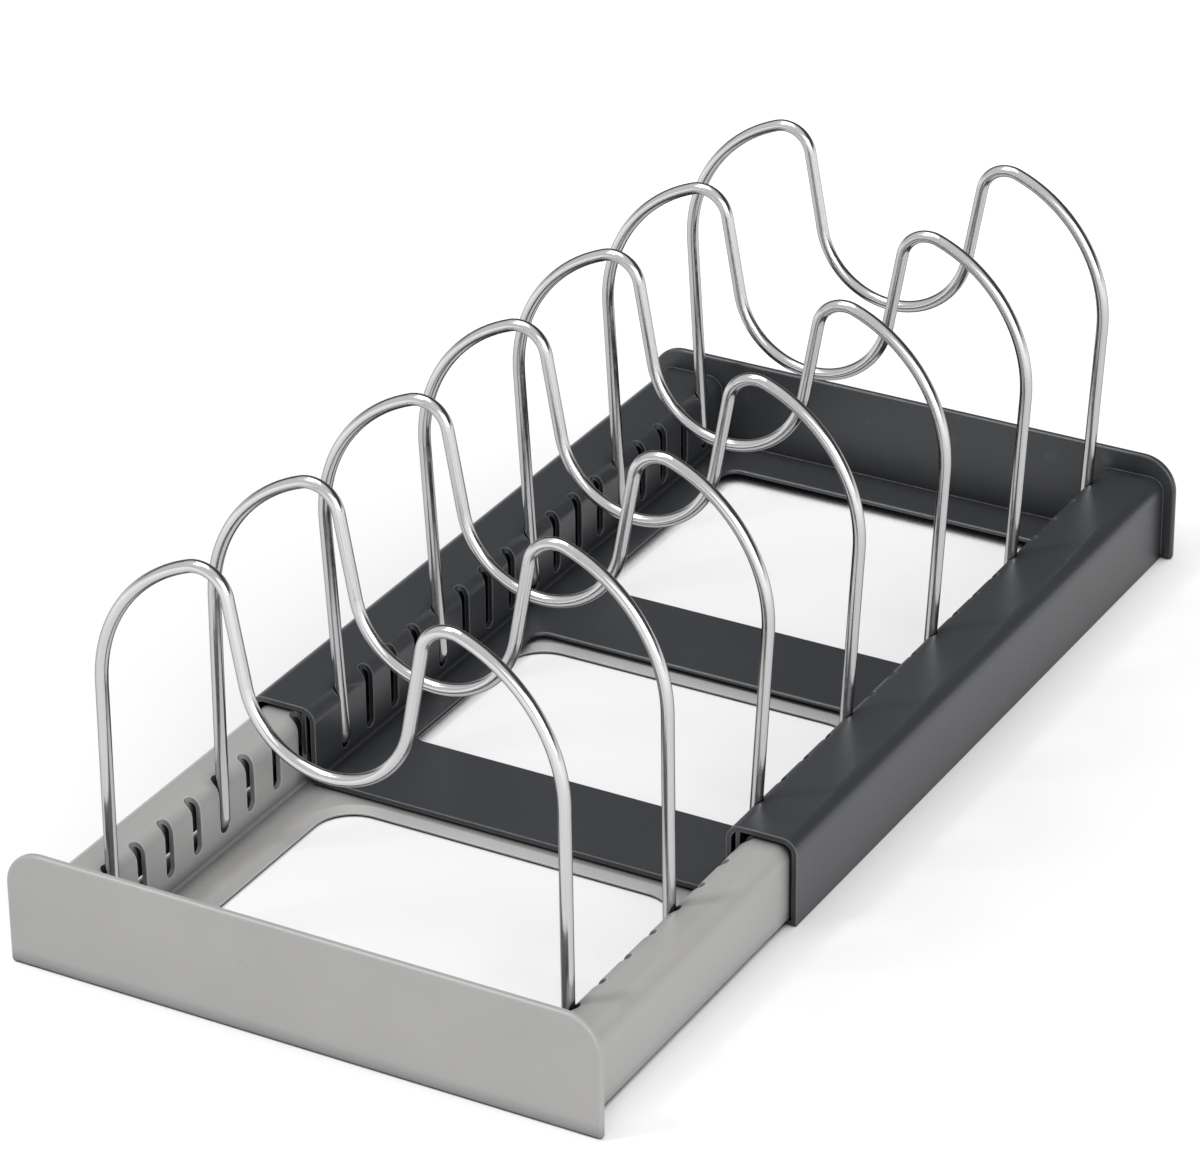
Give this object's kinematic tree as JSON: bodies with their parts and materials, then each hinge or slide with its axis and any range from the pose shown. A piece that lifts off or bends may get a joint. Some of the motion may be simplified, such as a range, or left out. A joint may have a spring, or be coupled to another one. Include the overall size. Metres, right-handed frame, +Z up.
{
  "type": "pot lid rack",
  "caption": "Pull-out rack for pot lids and plates: two grey slotted rail frames slide into each other and carry bent wire dividers with a dip in the middle.",
  "frame": {"origin": "centre of the bounding box on the table, with the rack pulled out as in the picture", "axes": "+X to the right across the rack seen from the light front plate, +Y along the rack from the front plate to the back plate, +Z up"},
  "size_m": [0.2, 0.4, 0.138],
  "materials": {
    "dark_plastic": "dark grey moulded plastic, fine satin",
    "light_plastic": "light grey moulded plastic, fine satin",
    "steel_wire": "bright drawn steel wire"
  },
  "bodies": {
    "outer": {"outer_frame": "dark_plastic", "divider_3": "steel_wire", "divider_4": "steel_wire", "divider_5": "steel_wire", "divider_6": "steel_wire", "divider_7": "steel_wire"},
    "inner": {"inner_frame": "light_plastic", "divider_1": "steel_wire", "divider_2": "steel_wire"}
  },
  "joints": [
    {"name": "frame_slide", "type": "slide", "parent": "outer", "child": "inner", "axis": [0, -1, 0], "range_m": [-0.04, 0.086]}
  ]
}
